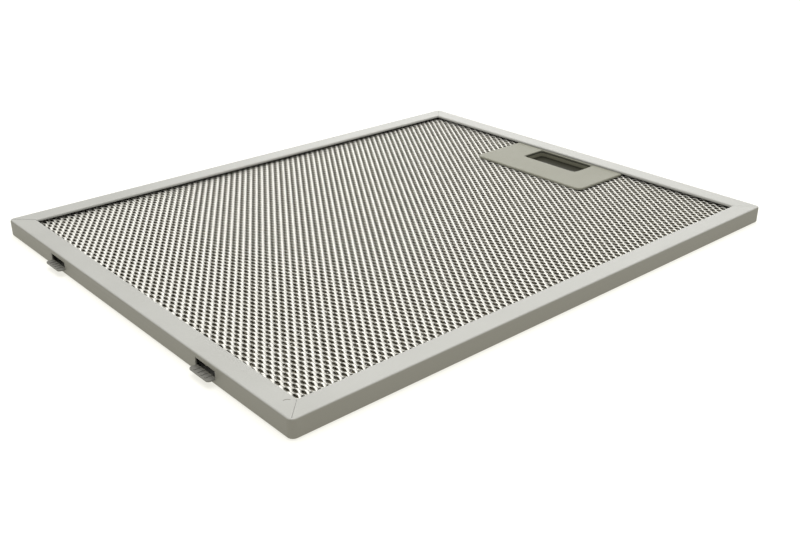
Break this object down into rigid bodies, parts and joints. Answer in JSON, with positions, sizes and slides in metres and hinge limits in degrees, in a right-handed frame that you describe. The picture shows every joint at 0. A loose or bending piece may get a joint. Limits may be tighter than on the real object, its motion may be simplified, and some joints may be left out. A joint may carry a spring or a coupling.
{
  "type": "cooker hood grease filter",
  "caption": "Flat rectangular grease filter: expanded aluminium mesh held in a folded channel frame, with fixed lugs on one side and a moulded finger handle with a sprung latch on the other.",
  "frame": {"origin": "middle of the frame's rear face, the face that looks into the hood", "axes": "+X from the lug wall to the latch wall, +Y along the short sides, +Z from the rear face to the front face with the handle"},
  "size_m": [0.3272, 0.26, 0.009],
  "materials": {
    "frame_aluminium": "satin mill finish",
    "mesh_aluminium": "bright cut strands",
    "foil_aluminium": "bright foil",
    "handle_grey": "fine matt",
    "latch_dark": "fine matt",
    "spring_steel": "drawn wire"
  },
  "bodies": {
    "filter": {"frame": "frame_aluminium", "front_mesh": "mesh_aluminium", "inner_layer_1": "foil_aluminium", "inner_layer_2": "foil_aluminium", "inner_layer_3": "foil_aluminium", "back_mesh": "mesh_aluminium", "handle_plate": "handle_grey", "handle_back": "handle_grey", "latch_spring_near": "spring_steel", "latch_spring_far": "spring_steel"},
    "latch": {"latch_slide": "latch_dark"}
  },
  "joints": [
    {"name": "latch_pull", "type": "slide", "parent": "filter", "child": "latch", "axis": [-1, 0, 0], "range_m": [0, 0.0045], "stiffness_N_per_m": 300, "springref_m": -0.006, "deforming": ["latch_spring_near", "latch_spring_far"]}
  ]
}
